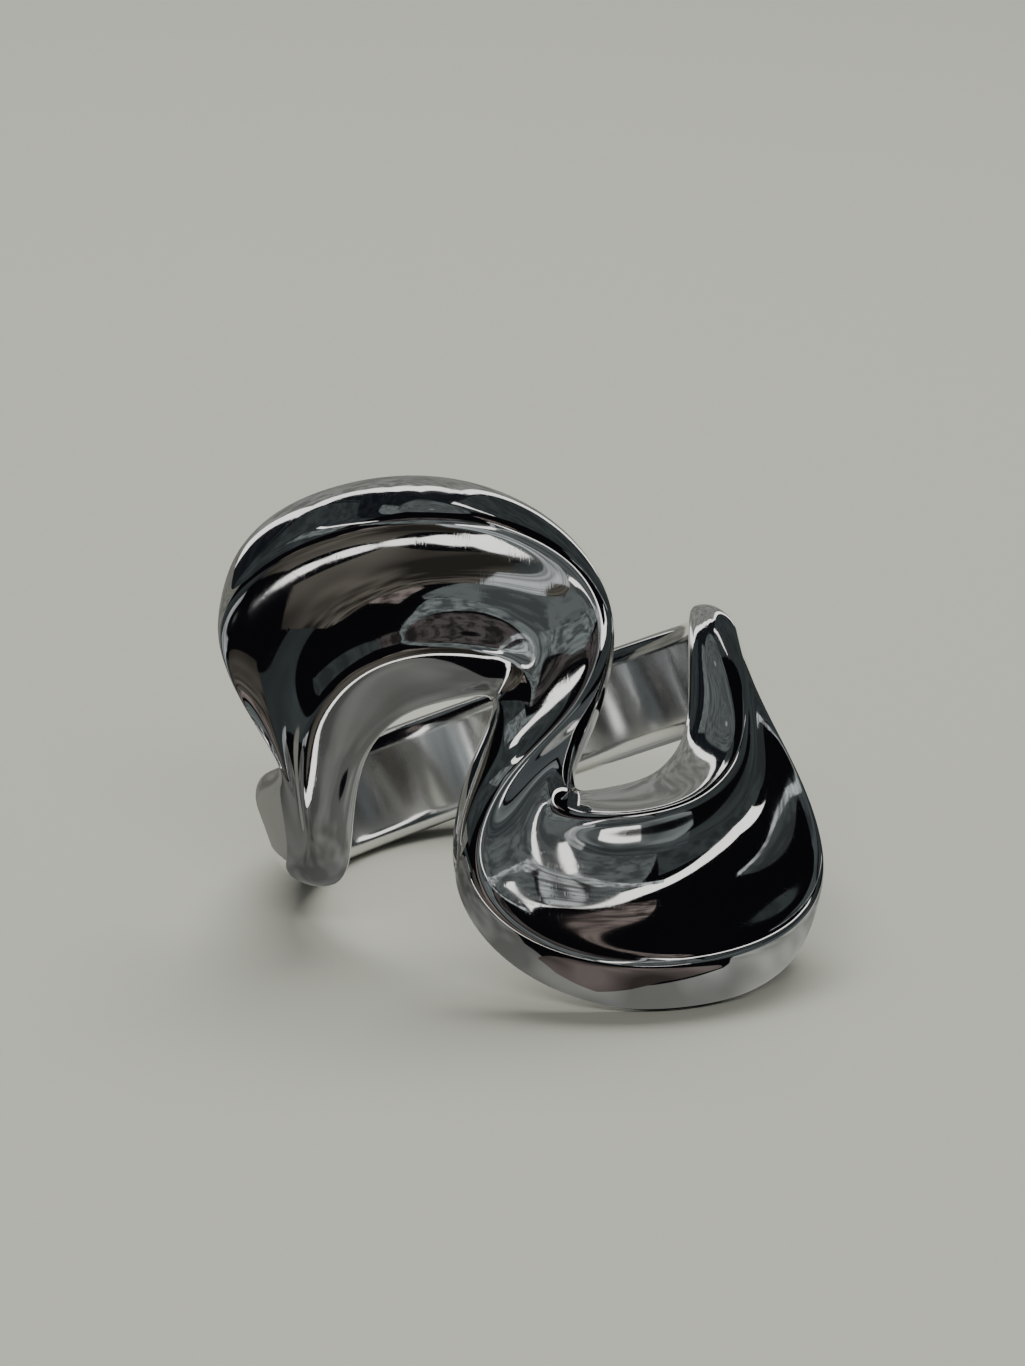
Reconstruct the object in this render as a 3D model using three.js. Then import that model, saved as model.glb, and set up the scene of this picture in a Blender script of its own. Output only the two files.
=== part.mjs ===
// Swirl ring: a finger ring cast and polished in one piece.
//
// A flat band runs round the finger. At each shoulder the same ribbon of metal
// turns along the finger and flares into a dished lobe, and the two lobes meet
// across the face as an S. One raised line runs just inside the rolled outer rim
// of the upper lobe, slants across the neck of the S and goes on just inside the
// rim of the lower lobe. Between each lobe and the neck is a bay, open to the
// finger.
//
// The ring is first described standing on its finger axis: Y runs along the
// finger, Z points out through the middle of the face and X is to the right.
// A place on it is a turn about the finger (0 at the face, -90 on the left,
// in degrees), a distance along the finger and a radius from the finger axis.
// Lengths are millimetres. At the end the ring is laid down as it rests.

import * as THREE from 'three';

// ---- Driving dimensions ----------------------------------------------------

const HOLE_RADIUS = 8.9; // the finger hole
const CREST_ROUND = 0.45; // how softly the raised line is rounded
const LIP_ROUND = 0.35; // and the ridge of the lip beside a bay
const LIP_WIDTH = 4.6; // how far that lip reaches into the dish
const LOWER_LIP = 1.3; // the lower lobe's lip is this much higher than the upper lobe's
const LOWER_BEVEL = 1.4; // widest fall from the lower lobe's lip to its edge
const INNER_EDGE_WIDTH = 0.7; // softening of the edges next to the finger
const INNER_EDGE_HEIGHT = 0.42;
const CORNER_FULLNESS = 2.1;
const BEVELLING = 0.75; // how much of that fullness each millimetre of lip takes away
const MEAN_RADIUS = 10.4; // for measuring widths across the ribbon

// How it lies on a surface by itself, in degrees
const LEAN = 18.9;
const TIP_BACK = 20.1;

// Divisions of the faceted surface
const STATIONS = 120; // round the loop of the ribbon
const OUTSIDE_STEPS = { roll: 4, middle: 13 }; // across it, over each edge and between them
const INSIDE_STEPS = { roll: 3, middle: 8 };

// ---- The ribbon, from the back of the band to the middle of the face --------
//
// The left edge carries the outer rim of the upper lobe, and the right edge
// borders its bay. Angles are in degrees and all else in millimetres:
//   left, right  where each edge lies: turn about the finger, and along it
//   crest        place of the raised line across the ribbon, 0 left to 1 right
//   floor        radius of the outer surface at the bottom of the dish
//   rim          height of the raised line above the floor
//   dish         distance from the raised line to the bottom of the dish
//   lips         height of a ridge beside the left and right edge
//   rolls        width over which it rolls down into that edge, from the raised line or the lip
//   flare        how far the inside lifts from the finger under the raised line
const COLUMNS = ['leftTurn', 'leftAlong', 'rightTurn', 'rightAlong', 'crest', 'floor', 'rim', 'dish',
  'leftLip', 'rightLip', 'leftRoll', 'rightRoll', 'flare'];
const HALF_RIBBON = [
  // name left          right         crest floor  rim  dish   lips       rolls      flare
  ['back', -180, 2.3, -180, -2.3, 0.50, 10.35, 0.0, 5.0, 0.00, 0.00, 1.20, 1.20, 0.0],
  ['rear', -150, 2.3, -150, -2.3, 0.25, 10.35, 0.0, 5.0, 0.00, 0.00, 1.20, 1.20, 0.0],
  ['side', -122, 2.3, -120, -2.3, 0.00, 10.30, 0.0, 5.0, 0.00, 0.00, 1.30, 1.30, 0.0],
  ['cheek', -98, 2.3, -96, -2.3, 0.00, 10.30, 0.0, 5.0, 0.00, 0.00, 1.40, 1.40, 0.0],
  ['shoulder', -77, 2.4, -79, -2.5, 0.00, 10.35, 0.1, 5.0, 0.00, 0.05, 1.20, 1.40, 0.1],
  ['tip', -62, 2.4, -68, -2.9, 0.06, 10.45, 0.3, 5.2, 0.00, 0.20, 0.90, 1.30, 0.3],
  ['turn', -56, 3.4, -60, -2.2, 0.13, 10.50, 0.7, 5.3, 0.00, 0.30, 1.05, 1.40, 0.7],
  ['rise', -62, 6.4, -53, -0.6, 0.18, 10.50, 1.2, 5.3, 0.00, 0.50, 1.30, 1.70, 1.2],
  ['corner', -65, 9.9, -43, 1.6, 0.20, 10.45, 1.6, 5.3, 0.00, 0.70, 1.65, 2.00, 1.8],
  ['temple', -44, 12.0, -33, 2.5, 0.20, 10.40, 1.7, 5.3, 0.00, 0.80, 1.85, 2.30, 2.1],
  ['crown', -17, 12.1, -25, 2.8, 0.20, 10.40, 1.8, 5.3, 0.00, 0.85, 1.85, 2.40, 2.2],
  ['over', 6, 10.7, -17, 2.7, 0.20, 10.40, 1.8, 5.3, 0.00, 0.80, 1.75, 2.30, 2.2],
  ['descent', 24, 7.7, -10, 2.5, 0.20, 10.45, 1.8, 5.3, 0.00, 0.65, 1.50, 2.00, 2.1],
  ['bend', 30, 4.1, -5, 2.3, 0.23, 10.40, 1.8, 5.2, 0.00, 0.40, 1.35, 1.70, 1.4],
  ['neck', 21, 0.9, -7, 1.5, 0.33, 10.30, 1.8, 5.0, 0.00, 0.20, 1.25, 1.50, 0.5],
  ['middle', 13, -0.6, -13, 0.6, 0.50, 10.20, 1.8, 5.0, 0.00, 0.00, 1.30, 1.30, 0.0],
];

// The other half is the same ribbon turned half round the middle of the face, apart from the
// lower lobe's higher lip and narrower bevel and what is added here to some of its values.
const LOWER_HALF_CHANGES = {
  tip: { leftTurn: 2, leftAlong: 0.3, rightTurn: 6 }, // the right shoulder ends in more of a point
  turn: { leftAlong: -0.4, rightTurn: 8 }, // and runs straight on into the lobe below it
  rise: { rightTurn: 4 },
  corner: { rightTurn: -2.5 }, // the lobe's edge at its bay is straighter
};

function rowOfHalf([name, ...values]) {
  return { name, ...Object.fromEntries(COLUMNS.map((column, i) => [column, values[i]])) };
}

function turnedHalfRound(r) {
  const turned = {
    ...r,
    leftTurn: -r.rightTurn,
    leftAlong: -r.rightAlong,
    rightTurn: -r.leftTurn,
    rightAlong: -r.leftAlong,
    crest: 1 - r.crest,
    leftLip: r.rightLip * LOWER_LIP,
    rightLip: r.leftLip,
    leftRoll: Math.min(r.rightRoll, LOWER_BEVEL),
    rightRoll: r.leftRoll,
  };
  for (const [column, change] of Object.entries(LOWER_HALF_CHANGES[r.name] ?? {})) {
    turned[column] += change;
  }
  return turned;
}

const upperHalf = HALF_RIBBON.map(rowOfHalf);
const RIBBON = [...upperHalf, ...upperHalf.slice(1, -1).reverse().map(turnedHalfRound)];

// A row of the ribbon, which goes on past its ends: one loop on, the turns are 360 more.
function ribbonRow(index) {
  const loops = Math.floor(index / RIBBON.length);
  const row = RIBBON[index - loops * RIBBON.length];
  return { ...row, leftTurn: row.leftTurn + 360 * loops, rightTurn: row.rightTurn + 360 * loops };
}

// The ribbon's values at a place round the loop, 0 to 1, as a uniform cubic B-spline of the rows.
function ribbonAt(place) {
  const position = place * RIBBON.length;
  const index = Math.floor(position);
  const u = position - index;
  const weights = [
    (1 - u) ** 3 / 6,
    (3 * u ** 3 - 6 * u ** 2 + 4) / 6,
    (-3 * u ** 3 + 3 * u ** 2 + 3 * u + 1) / 6,
    u ** 3 / 6,
  ];
  const rows = [-1, 0, 1, 2].map((offset) => ribbonRow(index + offset));
  const blend = (column) => rows.reduce((sum, row, i) => sum + weights[i] * row[column], 0);
  return Object.fromEntries(COLUMNS.map((column) => [column, blend(column)]));
}

// ---- The section across the ribbon ------------------------------------------

// A curve that falls from 1 at 0 to 0 at 1, hollow all the way, and stays there.
const hollowFall = (x) => Math.max(0, 1 - x) ** 3;

function ribbonWidth(r) {
  const round = THREE.MathUtils.degToRad(r.rightTurn - r.leftTurn) * MEAN_RADIUS;
  return Math.hypot(round, r.rightAlong - r.leftAlong);
}

// Radius of the outer surface, at a distance across from the left edge, before the edges are rolled.
function outerRadius(r, across, width) {
  const fromCrest = Math.hypot(across - r.crest * width, CREST_ROUND);
  const rim = r.rim * hollowFall(fromCrest / r.dish);
  const fromLeftLip = Math.hypot(across - r.leftRoll, LIP_ROUND);
  const fromRightLip = Math.hypot(width - r.rightRoll - across, LIP_ROUND);
  const leftLip = r.leftLip * hollowFall(fromLeftLip / LIP_WIDTH);
  const rightLip = r.rightLip * hollowFall(fromRightLip / LIP_WIDTH);
  return r.floor + rim + leftLip + rightLip;
}

// Radius of the inner surface there.
function innerRadius(r, across, width) {
  const fromCrest = Math.hypot(across - r.crest * width, CREST_ROUND);
  return HOLE_RADIUS + r.flare * hollowFall(fromCrest / r.dish);
}

// One rolled edge of the section, from the edge inwards: pairs of distance from the edge
// and how much of the full height is reached, as parts of 1.
function rolledEdge(lip, steps) {
  return Array.from({ length: steps + 1 }, (_, i) => {
    const angle = (i / steps) * (Math.PI / 2);
    const power = 2 / (CORNER_FULLNESS - BEVELLING * lip);
    return { inset: 1 - Math.cos(angle) ** power, height: Math.sin(angle) ** power };
  });
}

// The points over one side of the section, from the left edge to the right one. Each is
// a distance across from the left edge and a radius.
function surfaceRun(r, width, surface, left, right, steps) {
  const rolled = (across, end, height) => {
    const foot = innerRadius(r, end, width) + INNER_EDGE_HEIGHT;
    return { across, radius: foot + (surface(r, across, width) - foot) * height };
  };
  const leftEdge = rolledEdge(left.lip, steps.roll)
    .map(({ inset, height }) => rolled(inset * left.roll, 0, height));
  const rightEdge = rolledEdge(right.lip, steps.roll)
    .map(({ inset, height }) => rolled(width - inset * right.roll, width, height));
  const middle = Array.from({ length: steps.middle - 1 }, (_, i) => {
    const across = THREE.MathUtils.lerp(left.roll, width - right.roll, (i + 1) / steps.middle);
    return { across, radius: surface(r, across, width) };
  });
  return [...leftEdge, ...middle, ...rightEdge.reverse()];
}

// The closed section: over the outside from left to right, then back along the inside.
function sectionPoints(r, width) {
  const left = { roll: r.leftRoll, lip: r.leftLip };
  const right = { roll: r.rightRoll, lip: r.rightLip };
  const innerEdge = { roll: INNER_EDGE_WIDTH, lip: 0 };
  const outside = surfaceRun(r, width, outerRadius, left, right, OUTSIDE_STEPS);
  const inside = surfaceRun(r, width, innerRadius, innerEdge, innerEdge, INSIDE_STEPS);
  return [...outside, ...inside.slice(1, -1).reverse()];
}

function placeOnRing(r, width, { across, radius }) {
  const part = across / width;
  const turn = THREE.MathUtils.degToRad(THREE.MathUtils.lerp(r.leftTurn, r.rightTurn, part));
  const along = THREE.MathUtils.lerp(r.leftAlong, r.rightAlong, part);
  return new THREE.Vector3(radius * Math.sin(turn), along, radius * Math.cos(turn));
}

// ---- The solid ---------------------------------------------------------------

function ringGeometry() {
  const loops = Array.from({ length: STATIONS }, (_, i) => {
    const r = ribbonAt(i / STATIONS);
    const width = ribbonWidth(r);
    return sectionPoints(r, width).map((point) => placeOnRing(r, width, point));
  });
  const count = loops[0].length;
  const corner = (i, j) => (i % STATIONS) * count + (j % count);
  const triangles = [];
  for (let i = 0; i < STATIONS; i += 1) {
    for (let j = 0; j < count; j += 1) {
      const [a, b, c, d] = [corner(i, j), corner(i + 1, j), corner(i + 1, j + 1), corner(i, j + 1)];
      triangles.push(a, c, b, a, d, c);
    }
  }
  const geometry = new THREE.BufferGeometry().setFromPoints(loops.flat());
  geometry.setIndex(triangles);
  geometry.computeVertexNormals();
  return geometry;
}

const polishedSilver = new THREE.MeshStandardMaterial({ color: 0xc9cbce, roughness: 0.06, metalness: 1 });

const ring = new THREE.Mesh(ringGeometry(), polishedSilver);
ring.name = 'swirl_ring';

// ---- How it lies ---------------------------------------------------------------

// Stood on its finger axis, face to the front, the ring leans sideways and tips back,
// until the rim of the lower lobe and one edge of the band both touch the surface.
ring.rotation.x = Math.PI / 2;
const leaning = new THREE.Group().add(ring);
leaning.rotation.y = -THREE.MathUtils.degToRad(LEAN);
const tipped = new THREE.Group().add(leaning);
tipped.rotation.x = -THREE.MathUtils.degToRad(TIP_BACK);

// The origin is on the surface, under the middle of the ring's box.
const model = new THREE.Group().add(tipped);
const box = new THREE.Box3().setFromObject(model, true);
const middle = box.getCenter(new THREE.Vector3());
tipped.position.set(-middle.x, -middle.y, -box.min.z);

export default model;
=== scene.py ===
"""Swirl ring: the fine polished surface, its material, the floor, the lights and the camera."""
import math

import bpy
import numpy as np
from mathutils import Matrix, Vector


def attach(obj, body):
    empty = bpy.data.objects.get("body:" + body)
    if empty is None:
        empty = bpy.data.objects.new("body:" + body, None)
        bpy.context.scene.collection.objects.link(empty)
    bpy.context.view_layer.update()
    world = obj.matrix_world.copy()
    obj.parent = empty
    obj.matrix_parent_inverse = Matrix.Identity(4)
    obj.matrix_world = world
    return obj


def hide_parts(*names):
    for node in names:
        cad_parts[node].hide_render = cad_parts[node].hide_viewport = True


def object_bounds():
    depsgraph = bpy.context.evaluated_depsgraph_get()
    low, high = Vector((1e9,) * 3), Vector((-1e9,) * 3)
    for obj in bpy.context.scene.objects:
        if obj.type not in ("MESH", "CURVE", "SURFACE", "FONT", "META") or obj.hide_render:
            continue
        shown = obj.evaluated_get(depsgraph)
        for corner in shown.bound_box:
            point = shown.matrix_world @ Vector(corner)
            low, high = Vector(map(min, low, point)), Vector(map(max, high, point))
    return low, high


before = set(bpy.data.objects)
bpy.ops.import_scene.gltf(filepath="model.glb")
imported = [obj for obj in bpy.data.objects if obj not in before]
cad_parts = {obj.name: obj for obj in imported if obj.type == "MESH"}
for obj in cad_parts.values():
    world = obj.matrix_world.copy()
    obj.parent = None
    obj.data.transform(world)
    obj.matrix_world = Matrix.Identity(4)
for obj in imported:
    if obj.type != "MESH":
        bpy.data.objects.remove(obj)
CAD_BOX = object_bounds()

MM = 0.001

# ---- The ring's shape, as in part.mjs, in millimetres and degrees ------------------------------

HOLE_RADIUS = 8.9
CREST_ROUND = 0.45  # how softly the raised line is rounded
LIP_ROUND = 0.35  # and the ridge of the lip beside a bay
LIP_WIDTH = 4.6  # how far that lip reaches into the dish
LOWER_LIP = 1.3  # the lower lobe's lip is this much higher than the upper lobe's
LOWER_BEVEL = 1.4  # widest fall from the lower lobe's lip to its edge
INNER_EDGE_WIDTH = 0.7  # softening of the edges next to the finger
INNER_EDGE_HEIGHT = 0.42
CORNER_FULLNESS = 2.1
BEVELLING = 0.75  # how much of that fullness each millimetre of lip takes away
MEAN_RADIUS = 10.4  # for measuring widths across the ribbon

# How it lies on the floor by itself
LEAN = 18.9
TIP_BACK = 20.1

# How finely it is divided here: round the loop of the ribbon and across it
STATIONS = 640
OUTSIDE_STEPS = {"roll": 16, "middle": 52}
INSIDE_STEPS = {"roll": 8, "middle": 30}

# The ribbon, from the back of the band over the upper lobe to the middle of the face:
#   left, right  where each edge lies: turn about the finger, and along it
#   crest        place of the raised line across the ribbon, 0 left to 1 right
#   floor        radius of the outer surface at the bottom of the dish
#   rim          height of the raised line above the floor
#   dish         distance from the raised line to the bottom of the dish
#   lips         height of a ridge beside the left and right edge
#   rolls        width over which it rolls down into that edge, from the raised line or the lip
#   flare        how far the inside lifts from the finger under the raised line
COLUMNS = ("left_turn", "left_along", "right_turn", "right_along", "crest", "floor", "rim", "dish",
           "left_lip", "right_lip", "left_roll", "right_roll", "flare")
HALF_RIBBON = (
    # name left          right         crest floor  rim  dish   lips       rolls      flare
    ("back", -180, 2.3, -180, -2.3, 0.50, 10.35, 0.0, 5.0, 0.00, 0.00, 1.20, 1.20, 0.0),
    ("rear", -150, 2.3, -150, -2.3, 0.25, 10.35, 0.0, 5.0, 0.00, 0.00, 1.20, 1.20, 0.0),
    ("side", -122, 2.3, -120, -2.3, 0.00, 10.30, 0.0, 5.0, 0.00, 0.00, 1.30, 1.30, 0.0),
    ("cheek", -98, 2.3, -96, -2.3, 0.00, 10.30, 0.0, 5.0, 0.00, 0.00, 1.40, 1.40, 0.0),
    ("shoulder", -77, 2.4, -79, -2.5, 0.00, 10.35, 0.1, 5.0, 0.00, 0.05, 1.20, 1.40, 0.1),
    ("tip", -62, 2.4, -68, -2.9, 0.06, 10.45, 0.3, 5.2, 0.00, 0.20, 0.90, 1.30, 0.3),
    ("turn", -56, 3.4, -60, -2.2, 0.13, 10.50, 0.7, 5.3, 0.00, 0.30, 1.05, 1.40, 0.7),
    ("rise", -62, 6.4, -53, -0.6, 0.18, 10.50, 1.2, 5.3, 0.00, 0.50, 1.30, 1.70, 1.2),
    ("corner", -65, 9.9, -43, 1.6, 0.20, 10.45, 1.6, 5.3, 0.00, 0.70, 1.65, 2.00, 1.8),
    ("temple", -44, 12.0, -33, 2.5, 0.20, 10.40, 1.7, 5.3, 0.00, 0.80, 1.85, 2.30, 2.1),
    ("crown", -17, 12.1, -25, 2.8, 0.20, 10.40, 1.8, 5.3, 0.00, 0.85, 1.85, 2.40, 2.2),
    ("over", 6, 10.7, -17, 2.7, 0.20, 10.40, 1.8, 5.3, 0.00, 0.80, 1.75, 2.30, 2.2),
    ("descent", 24, 7.7, -10, 2.5, 0.20, 10.45, 1.8, 5.3, 0.00, 0.65, 1.50, 2.00, 2.1),
    ("bend", 30, 4.1, -5, 2.3, 0.23, 10.40, 1.8, 5.2, 0.00, 0.40, 1.35, 1.70, 1.4),
    ("neck", 21, 0.9, -7, 1.5, 0.33, 10.30, 1.8, 5.0, 0.00, 0.20, 1.25, 1.50, 0.5),
    ("middle", 13, -0.6, -13, 0.6, 0.50, 10.20, 1.8, 5.0, 0.00, 0.00, 1.30, 1.30, 0.0),
)

# What is added to some values of the half that makes the lower lobe
LOWER_HALF_CHANGES = {
    "tip": {"left_turn": 2, "left_along": 0.3, "right_turn": 6},  # more of a point
    "turn": {"left_along": -0.4, "right_turn": 8},  # and it runs straight on into the lobe below it
    "rise": {"right_turn": 4},
    "corner": {"right_turn": -2.5},  # the lobe's edge at its bay is straighter
}


def row_of_half(row):
    return dict(zip(("name",) + COLUMNS, row))


def turned_half_round(row):
    """The same place on the other half of the ribbon, turned half round the middle of the face."""
    turned = dict(
        row,
        left_turn=-row["right_turn"],
        left_along=-row["right_along"],
        right_turn=-row["left_turn"],
        right_along=-row["left_along"],
        crest=1 - row["crest"],
        left_lip=row["right_lip"] * LOWER_LIP,
        right_lip=row["left_lip"],
        left_roll=min(row["right_roll"], LOWER_BEVEL),
        right_roll=row["left_roll"],
    )
    for column, change in LOWER_HALF_CHANGES.get(row["name"], {}).items():
        turned[column] += change
    return turned


UPPER_HALF = [row_of_half(row) for row in HALF_RIBBON]
RIBBON = UPPER_HALF + [turned_half_round(row) for row in UPPER_HALF[-2:0:-1]]


def ribbon_row(index):
    """A row of the ribbon, which goes on past its ends: one loop on, the turns are 360 more."""
    loops, place = divmod(index, len(RIBBON))
    row = dict(RIBBON[place])
    row["left_turn"] += 360 * loops
    row["right_turn"] += 360 * loops
    return row


def ribbon_at(place):
    """The ribbon's values at a place round the loop, 0 to 1: a uniform cubic B-spline of the rows."""
    position = place * len(RIBBON)
    index = math.floor(position)
    u = position - index
    weights = ((1 - u) ** 3 / 6,
               (3 * u ** 3 - 6 * u ** 2 + 4) / 6,
               (-3 * u ** 3 + 3 * u ** 2 + 3 * u + 1) / 6,
               u ** 3 / 6)
    rows = [ribbon_row(index + offset) for offset in (-1, 0, 1, 2)]
    return {column: sum(weight * row[column] for weight, row in zip(weights, rows)) for column in COLUMNS}


def hollow_fall(x):
    """A curve that falls from 1 at 0 to 0 at 1, hollow all the way, and stays there."""
    return np.maximum(0, 1 - x) ** 3


def ribbon_width(row):
    return math.hypot(math.radians(row["right_turn"] - row["left_turn"]) * MEAN_RADIUS,
                      row["right_along"] - row["left_along"])


def inner_radius(row, across, width):
    from_crest = np.hypot(across - row["crest"] * width, CREST_ROUND)
    return HOLE_RADIUS + row["flare"] * hollow_fall(from_crest / row["dish"])


def outer_radius(row, across, width):
    from_crest = np.hypot(across - row["crest"] * width, CREST_ROUND)
    rim = row["rim"] * hollow_fall(from_crest / row["dish"])
    from_left_lip = np.hypot(across - row["left_roll"], LIP_ROUND)
    from_right_lip = np.hypot(width - row["right_roll"] - across, LIP_ROUND)
    left_lip = row["left_lip"] * hollow_fall(from_left_lip / LIP_WIDTH)
    right_lip = row["right_lip"] * hollow_fall(from_right_lip / LIP_WIDTH)
    return row["floor"] + rim + left_lip + right_lip


def rolled_edge(lip, steps):
    """One rolled edge of the section, from the edge inwards: distances and heights as parts of 1."""
    angle = np.linspace(0, math.pi / 2, steps + 1)
    power = 2 / (CORNER_FULLNESS - BEVELLING * lip)
    return 1 - np.cos(angle) ** power, np.sin(angle) ** power


def surface_run(row, width, surface, left, right, steps):
    """Distances across and radii over one side of the section, from the left edge to the right one."""
    left_inset, left_height = rolled_edge(left["lip"], steps["roll"])
    right_inset, right_height = rolled_edge(right["lip"], steps["roll"])
    middle = np.linspace(left["roll"], width - right["roll"], steps["middle"] + 1)[1:-1]
    across = np.concatenate((left_inset * left["roll"], middle, (width - right_inset * right["roll"])[::-1]))
    height = np.concatenate((left_height, np.ones(len(middle)), right_height[::-1]))
    ends = np.where(across < width / 2, 0.0, width)
    foot = inner_radius(row, ends, width) + INNER_EDGE_HEIGHT
    return across, foot + (surface(row, across, width) - foot) * height


def ring_loop(place):
    """One closed section of the ribbon as points, and which of them face the finger."""
    row = ribbon_at(place)
    width = ribbon_width(row)
    left = {"roll": row["left_roll"], "lip": row["left_lip"]}
    right = {"roll": row["right_roll"], "lip": row["right_lip"]}
    inner_edge = {"roll": INNER_EDGE_WIDTH, "lip": 0}
    outside_across, outside = surface_run(row, width, outer_radius, left, right, OUTSIDE_STEPS)
    inside_across, inside = surface_run(row, width, inner_radius, inner_edge, inner_edge, INSIDE_STEPS)
    run_back = slice(-2, 0, -1)  # the inside, from right to left and without its ends
    across = np.concatenate((outside_across, inside_across[run_back]))
    radius = np.concatenate((outside, inside[run_back]))
    part = across / width
    turn = np.radians(row["left_turn"] + (row["right_turn"] - row["left_turn"]) * part)
    along = row["left_along"] + (row["right_along"] - row["left_along"]) * part
    points = np.stack((radius * np.sin(turn), along, radius * np.cos(turn)), axis=1)
    faces_finger = np.arange(len(across)) >= len(outside)
    return points, faces_finger


def resting_turn():
    """Turns the ring from standing on its finger axis to the way it lies on the floor."""
    stand = Matrix.Rotation(math.pi / 2, 4, "X")
    lean = Matrix.Rotation(-math.radians(LEAN), 4, "Y")
    tip_back = Matrix.Rotation(-math.radians(TIP_BACK), 4, "X")
    return tip_back @ lean @ stand


def fitted_in_cad_box(points):
    """The points in metres, moved onto the CAD ring and never larger than it."""
    low, high = points.min(axis=0), points.max(axis=0)
    cad_low, cad_high = np.array(CAD_BOX[0]), np.array(CAD_BOX[1])
    fit = min(1.0, ((cad_high - cad_low) / (high - low)).min())
    points = (points - (low + high) / 2) * fit
    points += (cad_low + cad_high) / 2
    points[:, 2] += cad_low[2] - points[:, 2].min()
    return points


def closed_quads(stations, count):
    """Faces between each section and the next one, round the whole loop."""
    i, j = np.meshgrid(np.arange(stations), np.arange(count), indexing="ij")
    next_i, next_j = (i + 1) % stations, (j + 1) % count
    corners = (i * count + j, i * count + next_j, next_i * count + next_j, next_i * count + j)
    return np.stack(corners, axis=-1).reshape(-1, 4)


def add_object(name, data):
    obj = bpy.data.objects.new(name, data)
    bpy.context.collection.objects.link(obj)
    return obj


def add_mesh(name, vertices, faces):
    mesh = bpy.data.meshes.new(name)
    mesh.from_pydata(vertices, [], faces)
    return add_object(name, mesh)


def make_ring():
    """The ring as one smooth closed mesh. Its faces_finger attribute is 1 on the inside."""
    loops, inside = zip(*(ring_loop(station / STATIONS) for station in range(STATIONS)))
    turn = np.array(resting_turn().to_3x3())
    points = fitted_in_cad_box(np.concatenate(loops) @ turn.T * MM)
    quads = closed_quads(STATIONS, len(loops[0]))
    ring = add_mesh("fine_swirl_ring", points.tolist(), quads.tolist())
    ring.data.shade_smooth()
    faces_finger = ring.data.attributes.new("faces_finger", "FLOAT", "POINT")
    faces_finger.data.foreach_set("value", np.concatenate(inside).astype(np.float32))
    return ring


# ---- Material -----------------------------------------------------------------------------------

CLEAN_METAL = (0.83, 0.835, 0.84, 1)
SMUDGED_METAL = (0.74, 0.735, 0.72, 1)
CLEAN_ROUGHNESS = 0.035
SMUDGED_ROUGHNESS = 0.075
INSIDE_ROUGHNESS = 0.07  # added where the finger rubs
SCRATCH_ROUGHNESS = 0.03  # added along the scratches

SMUDGES = {"scale": 260, "detail": 4, "roughness": 0.6}
SMUDGE_RANGE = (0.42, 0.75)  # from clean metal to a full smudge, in noise values
SCRATCHES = ({"scale": 900, "detail": 2, "stretch": (1, 14, 1), "turn": (0.3, 0.5, 0.6)},
             {"scale": 1100, "detail": 2, "stretch": (12, 1, 1), "turn": (0.9, 0.2, 0.4)})
SCRATCH_RANGE = (1.15, 1.45)  # from no scratch to a full one, in sums of both noises
CASTING_WAVES = {"scale": 190, "detail": 1, "roughness": 0.3}
CASTING_BUMP = {"strength": 0.25, "distance": 0.00003}
SCRATCH_BUMP = {"strength": 0.09, "distance": 0.000004}


def noise(nodes, links, coordinates, scale, detail=3.0, roughness=0.5, stretch=(1, 1, 1), turn=(0, 0, 0)):
    """A noise texture on the object's own coordinates, optionally stretched into streaks."""
    mapping = nodes.new("ShaderNodeMapping")
    mapping.inputs["Scale"].default_value = stretch
    mapping.inputs["Rotation"].default_value = turn
    links.new(coordinates, mapping.inputs["Vector"])
    texture = nodes.new("ShaderNodeTexNoise")
    texture.inputs["Scale"].default_value = scale
    texture.inputs["Detail"].default_value = detail
    texture.inputs["Roughness"].default_value = roughness
    links.new(mapping.outputs["Vector"], texture.inputs["Vector"])
    return texture.outputs["Fac"]


def remap(nodes, links, value, low, high, to_low, to_high):
    node = nodes.new("ShaderNodeMapRange")
    node.inputs["From Min"].default_value = low
    node.inputs["From Max"].default_value = high
    node.inputs["To Min"].default_value = to_low
    node.inputs["To Max"].default_value = to_high
    links.new(value, node.inputs["Value"])
    return node.outputs["Result"]


def calculate(nodes, links, operation, first, second):
    """A maths node. Each of its two values is a number or another node's output."""
    node = nodes.new("ShaderNodeMath")
    node.operation = operation
    for socket, value in zip(node.inputs, (first, second)):
        if isinstance(value, (int, float)):
            socket.default_value = value
        else:
            links.new(value, socket)
    return node.outputs["Value"]


def scratches(nodes, links, coordinates):
    """Hairlines in two directions, 1 along a scratch and 0 beside it."""
    one_way, other_way = (noise(nodes, links, coordinates, **lines) for lines in SCRATCHES)
    both = calculate(nodes, links, "ADD", one_way, other_way)
    return remap(nodes, links, both, *SCRATCH_RANGE, 0.0, 1.0)


def bump(nodes, links, height, strength, distance):
    node = nodes.new("ShaderNodeBump")
    node.inputs["Strength"].default_value = strength
    node.inputs["Distance"].default_value = distance
    links.new(height, node.inputs["Height"])
    return node


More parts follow.
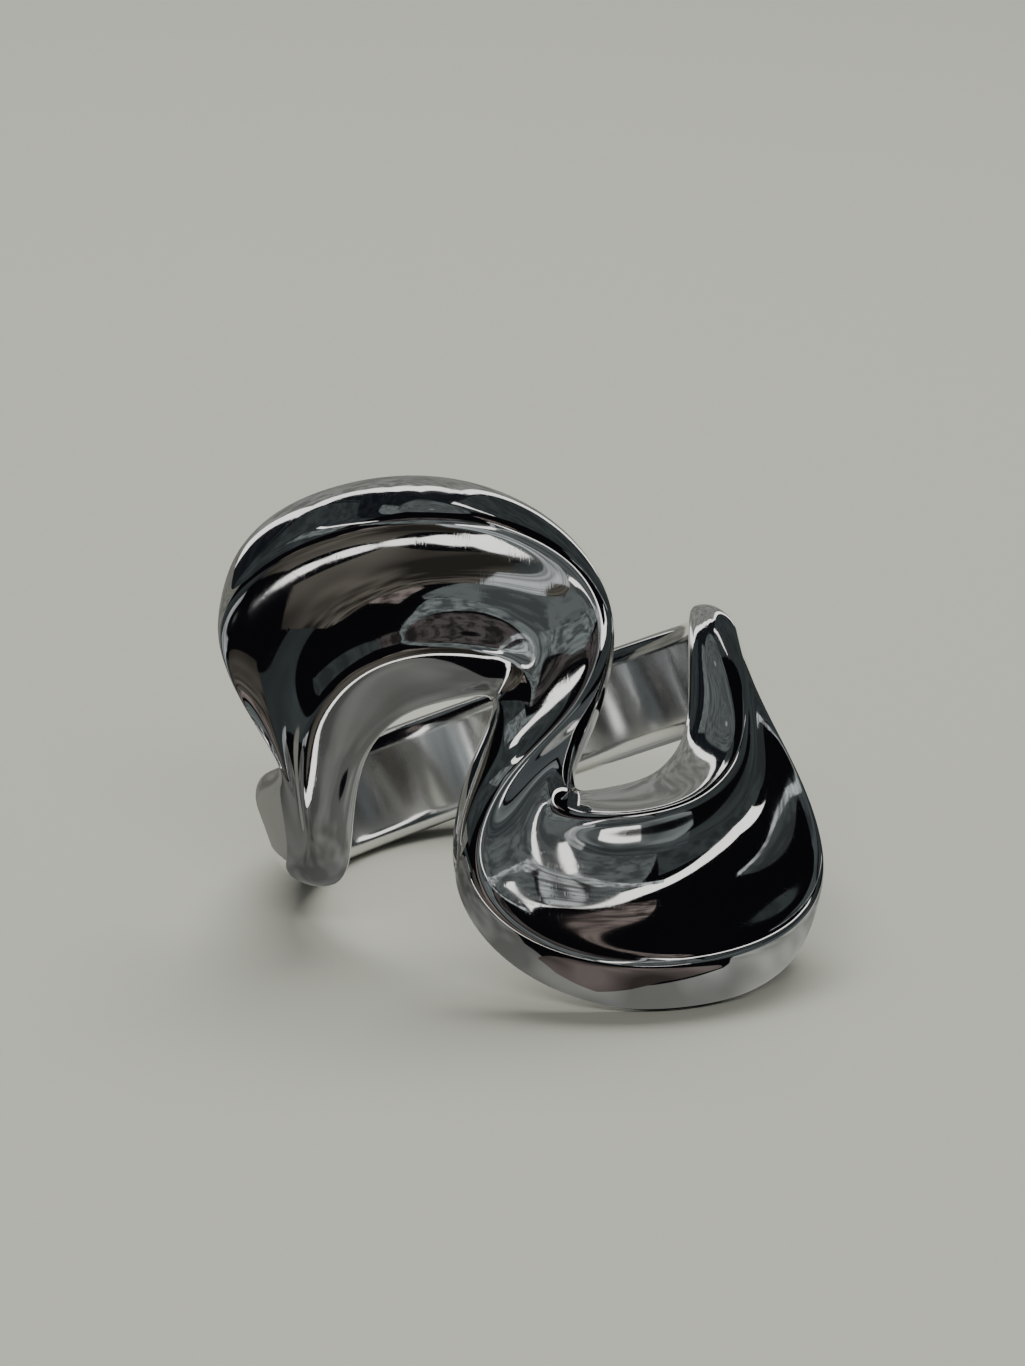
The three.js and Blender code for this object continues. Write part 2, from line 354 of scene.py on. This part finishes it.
def polished_silver():
    """Mirror-polished cast metal: faint casting waves, hairline polishing scratches and smudges."""
    material = bpy.data.materials.new("polished_silver")
    material.use_nodes = True
    nodes, links = material.node_tree.nodes, material.node_tree.links
    shader = nodes["Principled BSDF"]
    shader.inputs["Metallic"].default_value = 1.0
    shader.inputs["IOR"].default_value = 1.5
    coordinates = nodes.new("ShaderNodeTexCoord").outputs["Object"]

    smudges = noise(nodes, links, coordinates, **SMUDGES)
    film = remap(nodes, links, smudges, *SMUDGE_RANGE, 0.0, 1.0)
    scratch = scratches(nodes, links, coordinates)

    inside = nodes.new("ShaderNodeAttribute")
    inside.attribute_name = "faces_finger"
    satin = calculate(nodes, links, "MULTIPLY", inside.outputs["Fac"], INSIDE_ROUGHNESS)
    scoring = calculate(nodes, links, "MULTIPLY", scratch, SCRATCH_ROUGHNESS)
    roughness = remap(nodes, links, film, 0, 1, CLEAN_ROUGHNESS, SMUDGED_ROUGHNESS)
    roughness = calculate(nodes, links, "ADD", roughness, satin)
    roughness = calculate(nodes, links, "ADD", roughness, scoring)
    links.new(roughness, shader.inputs["Roughness"])

    tint = nodes.new("ShaderNodeMix")
    tint.data_type = "RGBA"
    tint.inputs["A"].default_value = CLEAN_METAL
    tint.inputs["B"].default_value = SMUDGED_METAL
    links.new(film, tint.inputs["Factor"])
    links.new(tint.outputs["Result"], shader.inputs["Base Color"])

    waves = noise(nodes, links, coordinates, **CASTING_WAVES)
    casting = bump(nodes, links, waves, **CASTING_BUMP)
    fine = bump(nodes, links, scratch, **SCRATCH_BUMP)
    fine.invert = True  # scratches are grooves
    links.new(casting.outputs["Normal"], fine.inputs["Normal"])
    links.new(fine.outputs["Normal"], shader.inputs["Normal"])
    return material


def plain_material(name, color, roughness):
    """A matt material of one colour."""
    material = bpy.data.materials.new(name)
    material.use_nodes = True
    shader = material.node_tree.nodes["Principled BSDF"]
    shader.inputs["Specular IOR Level"].default_value = 0.0
    shader.inputs["Base Color"].default_value = (*color, 1)
    shader.inputs["Roughness"].default_value = roughness
    return material


# ---- Floor, lights and camera, in metres --------------------------------------------------------

FLOOR_REACH = 1.5  # from the middle to each side
FLOOR_COLOR = (0.215, 0.215, 0.183)
FLOOR_ROUGHNESS = 0.9
ROOM_COLOR = (0.62, 0.68, 0.76, 1)
ROOM_STRENGTH = 0.45

SOFTBOXES = (
    # name, location, size, watts
    ("overhead", (0.0, 0.15, 0.45), (0.5, 0.35), 6.0),
    ("front_strip", (-0.05, -0.35, 0.30), (0.35, 0.06), 2.0),
)

CAMERA_SIDE = 6.8  # degrees that the camera stands to the left of the face's own direction
CAMERA_RISE = -0.5  # and that it stands above that direction
CAMERA_DISTANCE = 0.19
CAMERA_ROLL = 1.5  # degrees
FRAME_HEIGHT = 0.0546  # what the picture's height spans at the ring
SENSOR_SIZE = 36  # millimetres
NEAREST_SEEN = 0.005
FARTHEST_SEEN = 10


def make_floor():
    corners = [(x * FLOOR_REACH, y * FLOOR_REACH, 0) for x, y in ((-1, -1), (1, -1), (1, 1), (-1, 1))]
    floor = add_mesh("floor", corners, [(0, 1, 2, 3)])
    floor.data.materials.append(plain_material("pale_floor", FLOOR_COLOR, FLOOR_ROUGHNESS))


def make_world():
    world = bpy.data.worlds.new("studio")
    bpy.context.scene.world = world
    world.use_nodes = True
    background = world.node_tree.nodes["Background"]
    background.inputs["Color"].default_value = ROOM_COLOR
    background.inputs["Strength"].default_value = ROOM_STRENGTH


def make_softbox(name, location, size, watts, target):
    """A large soft light that the metal doesn't reflect."""
    light = bpy.data.lights.new(name, "AREA")
    light.shape = "RECTANGLE"
    light.size, light.size_y = size
    light.energy = watts
    softbox = add_object(name, light)
    softbox.location = location
    softbox.rotation_euler = (target - softbox.location).to_track_quat("-Z", "Y").to_euler()
    softbox.visible_glossy = False


def camera_direction():
    """From the ring to the camera: nearly straight out of its face."""
    side, rise = math.radians(CAMERA_SIDE), math.radians(CAMERA_RISE)
    on_ring = Vector((-math.sin(side) * math.cos(rise), -math.sin(rise), math.cos(side) * math.cos(rise)))
    return resting_turn().to_3x3() @ on_ring


def make_camera(target):
    data = bpy.data.cameras.new("camera")
    camera = add_object("camera", data)
    camera.location = target + camera_direction() * CAMERA_DISTANCE
    facing = (target - camera.location).to_track_quat("-Z", "Y").to_matrix()
    roll = Matrix.Rotation(math.radians(CAMERA_ROLL), 3, "Z")
    camera.rotation_euler = (facing @ roll).to_euler()
    data.sensor_width = SENSOR_SIZE
    data.lens = SENSOR_SIZE * CAMERA_DISTANCE / FRAME_HEIGHT
    data.clip_start = NEAREST_SEEN
    data.clip_end = FARTHEST_SEEN
    bpy.context.scene.camera = camera


# ---- Studio screens -----------------------------------------------------------------------------
#
# A polished ring shows what is round it. These screens are what it shows: only the metal sees
# them, in its reflections. A bearing is in degrees round the ring: 0 is straight in front of it,
# 90 is to its right and -90 to its left. Lengths are metres.

SCREEN_EYE = 0.010  # height on the ring from which the wall screens' angles are measured
FLOOR_SCREEN_HEIGHT = 0.0001  # of the lowest layer, and between the layers
BEARING_STEP = 2  # degrees between the points of a screen
PATCHES = {"detail": 2, "roughness": 0.6}
PATCH_RANGE = (0.4, 0.6)  # from the dimmest patch to the brightest, in noise values

# Mottling is how far the brightness strays from the screen's own, and patch_scale how finely.
# A fade is where along X the screen is dim, where it is bright, and the dim share of its strength.
SCREEN_LOOKS = {
    "black": {"color": (0.004, 0.004, 0.005)},
    "brown": {"color": (0.052, 0.046, 0.045), "mottling": 0.6, "patch_scale": 30},
    "umber": {"color": (0.094, 0.078, 0.073), "mottling": 0.6, "patch_scale": 150},
    "warm_grey": {"color": (0.13, 0.108, 0.100), "mottling": 0.7, "patch_scale": 30},
    "olive_brown": {"color": (0.075, 0.068, 0.058), "mottling": 0.7, "patch_scale": 30},
    "slate": {"color": (0.036, 0.042, 0.044), "mottling": 0.25, "patch_scale": 22},
    "iron": {"color": (0.052, 0.059, 0.062), "mottling": 0.35, "patch_scale": 30},
    "night": {"color": (0.012, 0.014, 0.017), "mottling": 0.3, "patch_scale": 22},
    "middle_grey": {"color": (0.088, 0.097, 0.098), "mottling": 0.35, "patch_scale": 30},
    "smoke": {"color": (0.13, 0.145, 0.145), "mottling": 0.5, "patch_scale": 40},
    "olive_grey": {"color": (0.17, 0.17, 0.150), "mottling": 0.25, "patch_scale": 60},
    "stoneware": {"color": (0.30, 0.305, 0.285), "mottling": 0.35, "patch_scale": 150,
                  "fade": {"dim_x": -0.012, "bright_x": 0.012, "dim_share": 0.35}},
    "back_grey": {"color": (0.22, 0.225, 0.21), "mottling": 0.3, "patch_scale": 30},
    "pale": {"color": (0.36, 0.38, 0.38), "mottling": 0.6, "patch_scale": 60},
    "glow": {"color": (1.0, 0.98, 0.95), "strength": 1.6},
}

# Upright screens: name, look, distance from the ring, and rows of a bearing and the angles, above
# level, of the screen's low and high edge there
WALL_SCREENS = (
    # The dark room
    ("left_wall", "slate", 0.30, ((-127, -2, 60), (-60, -2, 60))),
    ("left_high", "night", 0.30, ((-127, 60, 69), (-60, 60, 69))),
    ("left_roof", "smoke", 0.30, ((-127, 69, 84), (-60, 69, 84))),
    ("front_wall", "black", 0.30, ((-60, -2, 84), (110, -2, 84))),
    ("right_wall", "slate", 0.30, ((110, -2, 84), (148, -2, 84))),
    ("back_wall", "night", 0.30, ((148, -2, 84), (235, -2, 84))),
    ("back_card", "back_grey", 0.29, ((149, -2, 58), (165, -2, 66), (180, -2, 70), (205, -2, 67),
                                      (212, 0, 64), (222, 14, 57), (230, 27, 47), (234, 36, 44))),
    ("corner", "black", 0.29, ((-92, -2, -1), (-60, -2, 28), (-45, -2, 35), (-10, -2, 0))),
    ("warm_card", "warm_grey", 0.28, ((-38, -2, 0), (-30, -2, 12), (-17, -2, 1))),
    # Greys and streaks in front, which the neck shows
    ("neck_card", "middle_grey", 0.29, ((-20, 10, 14), (-8, -2, 20), (10, -2, 22), (20, -2, 30),
                                        (30, -2, 50), (36, -2, 24), (42, -2, 0))),
    ("neck_fan", "smoke", 0.28, ((-46, 36, 39), (-30, 27, 34), (-18, 14, 31), (0, 19, 28), (15, 24, 28))),
    ("neck_ray", "glow", 0.27, ((0, -2, 3), (5, 1, 9), (10, 9, 17), (14, 19, 24))),
    ("neck_tail", "pale", 0.27, ((14, 19, 25), (22, 24, 31), (31, 26, 30), (45, 25, 28))),
    ("fan_edge", "pale", 0.27, ((14, 24, 27), (20, 33, 37), (30, 51, 54))),
    ("high_brown", "brown", 0.29, ((-60, 27, 30), (-45, 35, 40), (-15, 32, 47), (15, 29, 42), (22, 28, 32))),
    ("brown_patch", "warm_grey", 0.29, ((36, 48, 58), (46, 44, 70), (54, 60, 70))),
    # The bright bow in the lower dish, and what is beside it
    ("bow", "glow", 0.28, ((31, 36, 54), (34, 32, 50), (38, 29, 40), (45, 25, 33.5), (55, 18.5, 26),
                           (65, 12.5, 20), (75, 8, 15.5), (90, 4, 11), (104, 4, 13))),
    ("below_bow", "slate", 0.29, ((42, -2, 20), (60, -2, 12), (80, -2, 6), (120, -2, 5))),
    ("right_card", "iron", 0.29, ((84, 34, 37), (92, 30, 39), (100, 24, 40), (108, 18, 36))),
    ("right_streak", "pale", 0.28, ((84, 35, 37.5), (95, 28, 30), (103, 19, 22), (112, 11, 13),
                                    (125, -1, 1))),
    ("right_top", "glow", 0.28, ((112, 64, 65), (120, 66, 68), (150, 69, 72))),
    # The bright line under the upper lobe's crest
    ("crest_card", "smoke", 0.29, ((-106, 28, 38), (-90, 32, 45), (-62, 34, 46))),
    ("crest_bow", "glow", 0.28, ((-104, 42.5, 44.5), (-90, 45, 47.5), (-75, 46.5, 49.5), (-60, 46.5, 49.5),
                                 (-47, 44.5, 48), (-39, 44.5, 45.5))),
    # The bright outline of the wall behind the ring
    ("back_edge", "glow", 0.28, ((149, -2, 56), (153, -2, 59))),
    ("back_top", "glow", 0.28, ((151, 55, 59), (157, 60, 64), (166, 62, 66.5), (180, 66, 70),
                                (205, 65, 69), (218, 59, 65), (226, 50, 59), (231, 40, 52),
                                (234, 34, 46))),
    ("back_side", "glow", 0.28, ((210, -2, 3), (216, 5, 12), (224, 17, 25), (230, 27, 38), (234, 34, 46))),
    # A grey ring close above
    ("roof", "middle_grey", 0.06, ((-165, 76, 89), (195, 76, 89))),
)

# Screens on the floor: name, look, layer from the floor up, and rows of a bearing and the radii of
# the screen's near and far edge there
FLOOR_SCREENS = (
    ("under", "stoneware", 1, ((-105, 0, 0.022), (-90, 0, 0.033), (-66, 0, 0.026), (-58, 0, 0.020),
                               (-22, 0, 0.020), (-14, 0, 0.0135), (0, 0, 0.0115), (20, 0, 0.0132),
                               (38, 0, 0.0150), (42, 0, 0.0195), (75, 0, 0.0195), (150, 0, 0.020))),
    ("brown_under", "umber", 2, ((-6, 0.0117, 0.0121), (-3, 0.0116, 0.0148), (0, 0.0115, 0.0165),
                                 (5, 0.0116, 0.0180), (10, 0.0118, 0.0187), (16, 0.0126, 0.0188),
                                 (22, 0.0135, 0.0182), (29, 0.0142, 0.0170), (36, 0.0149, 0.0153))),
    ("near_flag", "black", 0, ((-105, 0.008, 0.045), (150, 0.008, 0.045))),
    ("right_middle", "iron", 1, ((33, 0.027, 0.030), (40, 0.021, 0.030), (55, 0.0172, 0.030),
                                 (75, 0.020, 0.030), (100, 0.026, 0.032))),
    ("near_arc", "glow", 3, ((-61, 0.0212, 0.0223), (-56, 0.0201, 0.0214), (-50, 0.0197, 0.0211),
                             (-40, 0.0195, 0.0211), (-25, 0.0205, 0.0225), (-15, 0.0225, 0.0252),
                             (-8, 0.0265, 0.0305), (-3, 0.033, 0.040), (0, 0.040, 0.052))),
    ("left_arc", "pale", 3, ((-92, 0.032, 0.035), (-78, 0.0305, 0.0345), (-66, 0.0275, 0.031))),
    ("neck_arc", "smoke", 3, ((0, 0.045, 0.060), (8, 0.036, 0.050), (18, 0.031, 0.050),
                              (34, 0.031, 0.046), (50, 0.033, 0.050), (62, 0.034, 0.037))),
    ("neck_core", "glow", 4, ((13, 0.032, 0.036), (20, 0.0305, 0.036), (32, 0.0305, 0.0345))),
    ("path", "pale", 3, ((-5, 0.060, 0.30), (8, 0.060, 0.30))),
    ("warm_path", "olive_brown", 2, ((-60, 0.030, 0.100), (-50, 0.022, 0.30), (-22, 0.023, 0.30),
                                     (-4, 0.036, 0.30))),
    ("left_middle", "slate", 1, ((-105, 0.034, 0.060), (-60, 0.034, 0.060))),
    ("far_left_flag", "black", 0, ((-105, 0.045, 0.30), (-50, 0.045, 0.30))),
    ("far_middle_flag", "iron", 0, ((-50, 0.045, 0.30), (60, 0.045, 0.30))),
    ("far_right_flag", "slate", 0, ((60, 0.045, 0.30), (150, 0.045, 0.30))),
    ("left_flag", "olive_grey", 0, ((-165, 0.012, 0.30), (-105, 0.012, 0.30))),
)


def faded(nodes, links, coordinates, brightness, fade):
    """The brightness, falling to its dim share along X."""
    split = nodes.new("ShaderNodeSeparateXYZ")
    links.new(coordinates, split.inputs["Vector"])
    share = remap(nodes, links, split.outputs["X"], fade["dim_x"], fade["bright_x"], fade["dim_share"], 1.0)
    return calculate(nodes, links, "MULTIPLY", brightness, share)


def screen_material(name, color, strength=1.0, mottling=0.0, patch_scale=None, fade=None):
    """What a screen looks like in the metal: its own brightness, even or softly mottled."""
    material = plain_material(name, (0, 0, 0), 1.0)
    nodes, links = material.node_tree.nodes, material.node_tree.links
    shader = nodes["Principled BSDF"]
    shader.inputs["Emission Color"].default_value = (*color, 1)
    shader.inputs["Emission Strength"].default_value = strength
    if mottling:
        coordinates = nodes.new("ShaderNodeTexCoord").outputs["Object"]
        patches = noise(nodes, links, coordinates, patch_scale, **PATCHES)
        dimmest, brightest = strength * (1 - mottling), strength * (1 + mottling)
        brightness = remap(nodes, links, patches, *PATCH_RANGE, dimmest, brightest)
        if fade:
            brightness = faded(nodes, links, coordinates, brightness, fade)
        links.new(brightness, shader.inputs["Emission Strength"])
    return material


def stage_screen(name, vertices, material):
    """A screen between two rows of points, one after the other in the list."""
    across = len(vertices) // 2
    faces = [(i, i + 1, across + i + 1, across + i) for i in range(across - 1)]
    screen = add_mesh(name, vertices, faces)
    screen.data.materials.append(material)
    screen.visible_camera = False
    screen.visible_diffuse = False
    screen.visible_shadow = False


def around_ring(bearings, radii, heights):
    return [(radius * math.sin(turn), -radius * math.cos(turn), height)
            for turn, radius, height in zip(np.radians(bearings), radii, heights)]


def screen_outline(rows):
    """Evenly spaced bearings along a screen, and its first and second edge at each."""
    bearing, first, second = zip(*rows)
    count = math.ceil((bearing[-1] - bearing[0]) / BEARING_STEP) + 1
    bearings = np.linspace(bearing[0], bearing[-1], count)
    return bearings, np.interp(bearings, bearing, first), np.interp(bearings, bearing, second)


def make_wall_screen(name, material, distance, rows):
    bearings, low, high = screen_outline(rows)
    distances = np.full(len(bearings), distance)
    vertices = []
    for angles in (low, high):
        vertices += around_ring(bearings, distances, distance * np.tan(np.radians(angles)) + SCREEN_EYE)
    stage_screen(name, vertices, material)


def make_floor_screen(name, material, layer, rows):
    bearings, near, far = screen_outline(rows)
    heights = np.full(len(bearings), FLOOR_SCREEN_HEIGHT * (1 + layer))
    stage_screen(name, around_ring(bearings, near, heights) + around_ring(bearings, far, heights), material)


# ---- The scene ----------------------------------------------------------------------------------

ring = make_ring()
ring.data.materials.append(polished_silver())
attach(ring, "root")
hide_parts("swirl_ring")

ring_middle = (Vector(CAD_BOX[0]) + Vector(CAD_BOX[1])) / 2
make_camera(ring_middle)
make_floor()
make_world()
for name, location, size, watts in SOFTBOXES:
    make_softbox(name, location, size, watts, ring_middle)
looks = {name: screen_material(name, **look) for name, look in SCREEN_LOOKS.items()}
for name, look, distance, rows in WALL_SCREENS:
    make_wall_screen(name, looks[look], distance, rows)
for name, look, layer, rows in FLOOR_SCREENS:
    make_floor_screen(name, looks[look], layer, rows)
